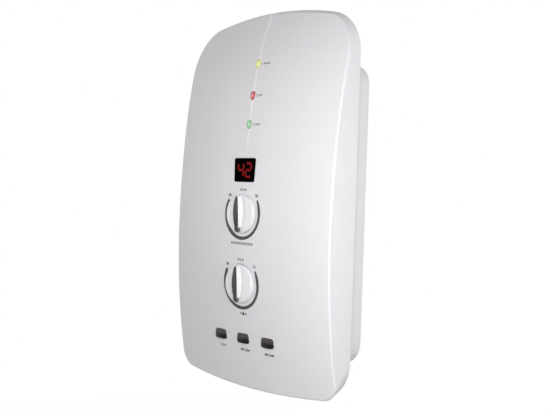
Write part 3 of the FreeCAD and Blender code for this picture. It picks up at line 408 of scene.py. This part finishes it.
def makePiece(name, mesh, finish, body):
    piece = bpy.data.objects.new(name, mesh)
    bpy.context.scene.collection.objects.link(piece)
    mesh.materials.clear()
    mesh.materials.append(finish)
    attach(piece, body)
    return piece


def layMark(name, shapes, finish):
    # shapes are lists of flat corners and faces; each becomes a thin layer of ink on the cover
    form = bmesh.new()
    for points, faces in shapes:
        raised = [form.verts.new(faceAt(x, z, ink["lift"])) for x, z in points]
        sunk = [form.verts.new(faceAt(x, z, ink["lift"] - ink["thick"])) for x, z in points]
        sides = [side for corners in faces for side in zip(corners, corners[1:] + corners[:1])]
        for corners in faces:
            form.faces.new([raised[i] for i in corners])
            form.faces.new([sunk[i] for i in reversed(corners)])
        for first, second in sides:
            if (second, first) not in sides:
                form.faces.new((raised[second], raised[first], sunk[first], sunk[second]))
    bmesh.ops.recalc_face_normals(form, faces=form.faces)
    mesh = bpy.data.meshes.new(name)
    form.to_mesh(mesh)
    form.free()
    return makePiece(name, mesh, finish, "heater")


def strip(innerLine, outerLine):
    # a band between two lines of equally many points
    count = len(innerLine)
    faces = [(i, i + 1, count + i + 1, count + i) for i in range(count - 1)]
    return innerLine + outerLine, faces


def bar(x0, x1, z, thick):
    # a level bar, in steps short enough to follow the face
    steps = max(2, int(abs(x1 - x0) / 2.0) + 1)
    across = [x0 + (x1 - x0) * i / (steps - 1) for i in range(steps)]
    return strip([(x, z - thick / 2) for x in across], [(x, z + thick / 2) for x in across])


def dashes(x0, x1, z, look):
    # a row of upright dashes that fills the way from x0 to x1
    count = int((x1 - x0) / look["pitch"] + 0.5)
    step = (x1 - x0) / count
    wide = step * look["fill"]
    return [bar(x0 + step * i, x0 + step * i + wide, z, look["tall"]) for i in range(count)]


def number(words, x, z, height):
    # figures in the plain built-in typeface, centred on a point
    curve = bpy.data.curves.new("number", "FONT")
    curve.body = words
    curve.resolution_u = 4
    curve.offset = ink["bold"]
    shown = bpy.data.objects.new("number", curve)
    mesh = bpy.data.meshes.new_from_object(shown)
    low = [min(vertex.co[i] for vertex in mesh.vertices) for i in (0, 1)]
    high = [max(vertex.co[i] for vertex in mesh.vertices) for i in (0, 1)]
    size = height / (high[1] - low[1])
    points = []
    for vertex in mesh.vertices:
        across = x + (vertex.co.x - (low[0] + high[0]) / 2) * size
        up = z + (vertex.co.y - (low[1] + high[1]) / 2) * size
        points.append((across, up))
    faces = [tuple(polygon.vertices) for polygon in mesh.polygons]
    bpy.data.objects.remove(shown)
    bpy.data.curves.remove(curve)
    bpy.data.meshes.remove(mesh)
    return points, faces


def middleOf(node):
    low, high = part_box(node)
    return (low.x + high.x) / 2 / millimetre, (low.z + high.z) / 2 / millimetre


dial = {"outer": 27.4, "from": 56.0, "to": 304.0, "step": 3.0, "width": 4.5, "aside": 0.9, "up": 0.9,
        "tip": 0.5, "tipAt": 0.1, "number": 3.4, "topOut": 25.2, "topBar": (2.2, 4.7), "barThick": 2.0,
        "endOut": 28.3, "endTurn": 47.0}


def dialWidth(turn, part):
    # the arc is heaviest on the left, and narrows at both tips
    width = dial["width"] - dial["aside"] * math.sin(turn) + dial["up"] * math.cos(turn)
    toTip = min(1.0, min(part, 1.0 - part) / dial["tipAt"])
    return width * (dial["tip"] + (1.0 - dial["tip"]) * math.sin(toTip * math.pi / 2))


def dialMarks(knobNode, name, ends):
    # the scale round a knob: a heavy arc open at the top, with numbers above and at each end;
    # gives the height of the knob's middle
    x, z = middleOf(knobNode)
    inner = []
    outer = []
    steps = int((dial["to"] - dial["from"]) / dial["step"])
    for i in range(steps + 1):
        turn = math.radians(dial["from"] + (dial["to"] - dial["from"]) * i / steps)
        for line, radius in ((inner, dial["outer"] - dialWidth(turn, i / steps)), (outer, dial["outer"])):
            line.append((x + radius * math.sin(turn), z + radius * math.cos(turn)))
    layMark(name + "_scale", [strip(inner, outer)], darkInk)
    above = z + dial["topOut"]
    near, far = dial["topBar"]
    top = [bar(x + side * near, x + side * far, above, dial["barThick"]) for side in (-1, 1)]
    layMark(name + "_top", [number("0", x, above, dial["number"])] + top, greyInk)
    numbers = []
    for words, side in zip(ends, (1, -1)):
        turn = math.radians(dial["endTurn"]) * side
        place = (x + dial["endOut"] * math.sin(turn), z + dial["endOut"] * math.cos(turn))
        numbers.append(number(words, *place, dial["number"]))
    layMark(name + "_numbers", numbers, darkInk)
    return z


dropMark = {"aside": 2.6, "down": 31.2, "tall": 4.6, "foot": 0.36, "from": 50.0, "span": 260.0, "steps": 14,
            "near": 2.4, "far": 5.0, "barDown": 31.4, "thick": 1.5}


def drop(x, z, tall):
    # a plain water drop: a round foot drawn up to a point
    radius = tall * dropMark["foot"]
    points = [(x, z + tall / 2)]
    for i in range(dropMark["steps"] + 1):
        turn = math.radians(dropMark["from"] + dropMark["span"] * i / dropMark["steps"])
        points.append((x + radius * math.sin(turn), z - tall / 2 + radius + radius * math.cos(turn)))
    return points, [tuple(range(len(points)))]


dashRow = {"pitch": 2.7, "fill": 0.62, "tall": 2.6, "across": (-15.5, 18.5), "down": 31.0}
smallRow = {"pitch": 1.9, "fill": 0.6, "tall": 2.0}
knobZ = dialMarks("temperature_knob", "temperature", ("30", "60"))
left, right = dashRow["across"]
layMark("temperature_row", dashes(left, right, knobZ - dashRow["down"], dashRow), greyInk)

knobZ = dialMarks("flow_knob", "flow", ("10", "90"))
dropX = dropMark["aside"]
barZ = knobZ - dropMark["barDown"]
sides = [bar(dropX + side * dropMark["near"], dropX + side * dropMark["far"], barZ, dropMark["thick"])
         for side in (-1, 1)]
layMark("flow_drop", [drop(dropX, knobZ - dropMark["down"], dropMark["tall"])] + sides, darkInk)

lensMark = {"figure": 6.4, "number": 2.8, "row": 8.8}
for order, (colour, reach) in enumerate((("yellow", 18.5), ("red", 14.5), ("green", 17.5)), 1):
    x, z = middleOf("led_lens_" + colour)
    figure = number(str(order), x + lensMark["figure"], z, lensMark["number"])
    layMark("led_mark_" + colour, [figure] + dashes(x + lensMark["row"], x + reach, z, smallRow), greyInk)

buttonMark = {"aside": 1.6, "down": 12.3, "near": 2.0, "thick": 2.0, "number": 3.6}
for order, (side, reach) in enumerate((("left", 3.8), ("middle", 6.8), ("right", 6.4)), 1):
    x, z = middleOf("button_" + side)
    x += buttonMark["aside"]
    z -= buttonMark["down"]
    shapes = [number(str(order), x, z, buttonMark["number"])]
    for way in (-1, 1):
        near, far = sorted((way * buttonMark["near"], way * reach))
        shapes.append(bar(x + near, x + far, z, buttonMark["thick"]))
    layMark("button_mark_" + side, shapes, darkInk)
print("marks printed")


# Red digits that show through the display window
display = {"digits": "42", "half": (4.1, 7.0), "apart": 5.9, "stroke": 2.4, "slant": 0.08, "gap": 0.25,
           "lit": (0.26, 0.004, 0.008), "dim": 0.8, "glow": 0.8, "lift": 0.06, "depth": 0.1}
segmentsOf = {"0": "abcdef", "1": "bc", "2": "abged", "3": "abgcd", "4": "fgbc", "5": "afgcd",
              "6": "afgedc", "7": "abc", "8": "abcdefg", "9": "abcdfg"}


def segmentGlow():
    finish = Finish(bpy.data.materials.new("display_glow"))
    uneven = finish.noise(finish.where(), 500.0, 2.0)
    dimmer = tuple(display["dim"] * part for part in display["lit"])
    colour = finish.tint(finish.ramp(uneven, 0.3, 0.7), display["lit"], dimmer)
    return finish.done(finish.shell({
        "Base Color": (0.02, 0.001, 0.001, 1.0),
        "Specular IOR Level": 0.02,
        "Roughness": uneven * 0.05 + 0.3,
        "Emission Color": colour,
        "Emission Strength": display["glow"],
    }))


def segmentPlaces():
    half, tall = display["half"]
    return {
        "a": ((-half, tall), (half, tall)),
        "g": ((-half, 0.0), (half, 0.0)),
        "d": ((-half, -tall), (half, -tall)),
        "f": ((-half, 0.0), (-half, tall)),
        "b": ((half, 0.0), (half, tall)),
        "e": ((-half, -tall), (-half, 0.0)),
        "c": ((half, -tall), (half, 0.0)),
    }


def segmentCorners(start, end):
    # a bar with pointed ends, drawn a little short of its neighbours
    along = Vector((end[0] - start[0], end[1] - start[1]))
    length = along.length
    along.normalize()
    aside = Vector((-along.y, along.x)) * display["stroke"] / 2
    tips = (display["gap"], length - display["gap"])
    shoulder = display["stroke"] / 2
    first = Vector(start)
    spots = [first + along * tips[0], first + along * (tips[0] + shoulder) + aside,
             first + along * (tips[1] - shoulder) + aside, first + along * tips[1],
             first + along * (tips[1] - shoulder) - aside, first + along * (tips[0] + shoulder) - aside]
    return [(spot.x + spot.y * display["slant"], spot.y) for spot in spots]


def displayDigits():
    low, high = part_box("display_window")
    front = low.y
    middle = Vector(((low.x + high.x) / 2, front, (low.z + high.z) / 2))
    form = bmesh.new()
    for order, words in enumerate(display["digits"]):
        shift = (order * 2 - 1) * display["apart"]
        for letter in segmentsOf[words]:
            flat = segmentCorners(*segmentPlaces()[letter])
            rings = []
            for lift in (display["lift"], -display["depth"]):
                ring = []
                for x, z in flat:
                    ring.append(form.verts.new(middle + Vector((x + shift, -lift, z)) * millimetre))
                rings.append(ring)
            form.faces.new(rings[0])
            form.faces.new(list(reversed(rings[1])))
            for i in range(len(flat)):
                after = (i + 1) % len(flat)
                form.faces.new((rings[0][after], rings[0][i], rings[1][i], rings[1][after]))
    bmesh.ops.recalc_face_normals(form, faces=form.faces)
    mesh = bpy.data.meshes.new("display_digits")
    form.to_mesh(mesh)
    form.free()
    makePiece("display_digits", mesh, segmentGlow(), "heater")


displayDigits()
print("display lit")


# Pale floor under the hanging heater, white towards the horizon, and soft lamps
studio = {
    "floorDrop": 0.25,
    "floorSize": 12.0,
    "floorColour": (0.45, 0.45, 0.45),
    "floorGlow": 0.62,
    "fadeFrom": 0.35,
    "fadeTo": 1.0,
    "ambient": 0.25,
    "ambientColour": (1.0, 0.95, 1.02),
}
lamps = {
    "key": {"place": (0.45, -0.385, 0.03), "size": 0.3, "power": 2.05},
    "side": {"place": (0.66, -0.24, 0.0), "size": 0.3, "power": 0.8},
    "left": {"place": (-1.4, -1.5, 0.3), "size": 1.4, "power": 9.2},
    "rear": {"place": (-0.5, 1.9, 0.6), "size": 1.4, "power": 26.0},
}


def seenBackground(finish):
    # one for the rays that show the background: to the camera, in gloss and through glass
    straight, gloss, glass = (finish.node("LightPath", {}, {}, "Is " + kind + " Ray")
                              for kind in ("Camera", "Glossy", "Transmission"))
    return straight + gloss + glass


def makeFloor():
    form = bmesh.new()
    bmesh.ops.create_grid(form, x_segments=8, y_segments=8, size=studio["floorSize"] / 2)
    mesh = bpy.data.meshes.new("floor")
    form.to_mesh(mesh)
    form.free()
    floor = bpy.data.objects.new("floor", mesh)
    floor.location.z = cadLow.z - studio["floorDrop"]
    bpy.context.scene.collection.objects.link(floor)
    finish = Finish(bpy.data.materials.new("floor_paint"))
    distance = finish.node("VectorMath", {"operation": "LENGTH"}, {0: finish.where()}, "Value")
    far = finish.ramp(distance, studio["fadeFrom"], studio["fadeTo"])
    plain = finish.node("BsdfDiffuse", {}, {"Color": (*studio["floorColour"], 1.0)})
    lift = finish.node("Emission", {}, {"Strength": studio["floorGlow"]})
    white = finish.node("Emission", {}, {"Strength": 1.0})
    lifted = finish.node("AddShader", {}, {0: plain, 1: lift})
    shown = finish.node("MixShader", {}, {0: far, 1: lifted, 2: white})
    surface = finish.node("MixShader", {}, {0: seenBackground(finish), 1: plain, 2: shown})
    mesh.materials.append(finish.done(surface))


def makeWorld():
    world = bpy.data.worlds.new("studio")
    bpy.context.scene.world = world
    finish = Finish(world)
    colour = (*studio["ambientColour"], 1.0)
    shade = finish.node("Background", {}, {"Color": colour, "Strength": studio["ambient"]})
    bright = finish.node("Background", {}, {"Color": (1.0, 1.0, 1.0, 1.0), "Strength": 1.0})
    mixed = finish.node("MixShader", {}, {0: seenBackground(finish), 1: shade, 2: bright})
    finish.node("OutputWorld", {}, {"Surface": mixed})


def makeLamps():
    for name, lamp in lamps.items():
        data = bpy.data.lights.new(name, "AREA")
        data.shape = "DISK"
        data.size = lamp["size"]
        data.energy = lamp["power"]
        shown = bpy.data.objects.new(name, data)
        shown.location = lamp["place"]
        shown.rotation_euler = (-Vector(lamp["place"])).to_track_quat("-Z", "Y").to_euler()
        shown.visible_camera = False
        bpy.context.scene.collection.objects.link(shown)


makeFloor()
makeWorld()
makeLamps()
bpy.context.scene.view_settings.view_transform = "Standard"
print("studio set")
